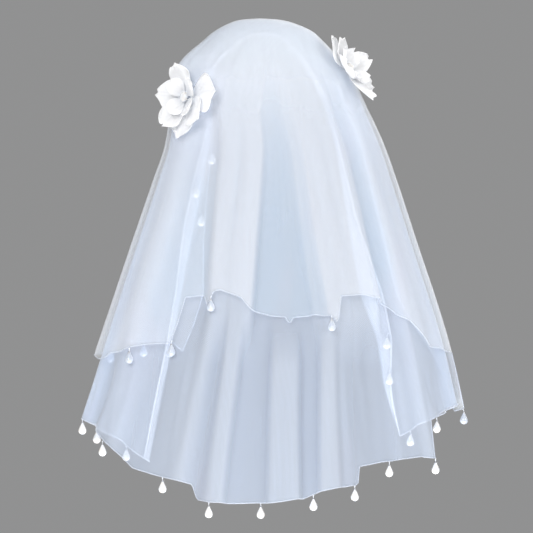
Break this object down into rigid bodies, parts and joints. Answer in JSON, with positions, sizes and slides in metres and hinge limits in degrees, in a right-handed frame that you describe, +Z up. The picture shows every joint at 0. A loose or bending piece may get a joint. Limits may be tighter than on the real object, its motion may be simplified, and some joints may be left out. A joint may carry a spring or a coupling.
{
  "type": "two-tier bridal veil",
  "caption": "Shoulder-length bridal veil of sheer net in two tiers, worn shape, with a silk flower at each side of the head and pearl drops along its hems and front edges.",
  "frame": {"origin": "the point of the wearer's crown that carries the cloth, on the inner face of the long tier", "axes": "+Z up, +Y the way the wearer faces, through the open front, +X to the wearer's right"},
  "size_m": [0.4529, 0.2913, 0.5794],
  "materials": {
    "net": "sheer soft net",
    "satin": "satin",
    "petal_silk": "matt silk",
    "button": "pearl beads",
    "pearl": "pearl lustre"
  },
  "bodies": {
    "root": {"long_tier": "net", "short_tier": "net", "hair_band": "satin", "left_flower_petal_1": "petal_silk", "left_flower_petal_2": "petal_silk", "left_flower_petal_3": "petal_silk", "left_flower_petal_4": "petal_silk", "left_flower_petal_5": "petal_silk", "left_flower_petal_6": "petal_silk", "left_flower_petal_7": "petal_silk", "left_flower_petal_8": "petal_silk", "left_flower_petal_9": "petal_silk", "left_flower_petal_10": "petal_silk", "left_flower_button": "button", "right_flower_petal_1": "petal_silk", "right_flower_petal_2": "petal_silk", "right_flower_petal_3": "petal_silk", "right_flower_petal_4": "petal_silk", "right_flower_petal_5": "petal_silk", "right_flower_petal_6": "petal_silk", "right_flower_petal_7": "petal_silk", "right_flower_petal_8": "petal_silk", "right_flower_petal_9": "petal_silk", "right_flower_petal_10": "petal_silk", "right_flower_button": "button", "long_hem_drop_01": "pearl", "long_hem_drop_02": "pearl", "long_hem_drop_03": "pearl", "long_hem_drop_04": "pearl", "long_hem_drop_05": "pearl", "long_hem_drop_06": "pearl", "long_hem_drop_07": "pearl", "long_hem_drop_08": "pearl", "long_hem_drop_09": "pearl", "long_hem_drop_10": "pearl", "long_hem_drop_11": "pearl", "long_hem_drop_12": "pearl", "long_hem_drop_13": "pearl", "short_hem_drop_01": "pearl", "short_hem_drop_02": "pearl", "short_hem_drop_03": "pearl", "short_hem_drop_04": "pearl", "short_hem_drop_05": "pearl", "short_hem_drop_06": "pearl", "short_hem_drop_07": "pearl", "short_hem_drop_08": "pearl", "left_edge_drop_1": "pearl", "left_edge_drop_2": "pearl", "left_edge_drop_3": "pearl", "right_edge_drop_1": "pearl", "right_edge_drop_2": "pearl"}
  },
  "joints": []
}
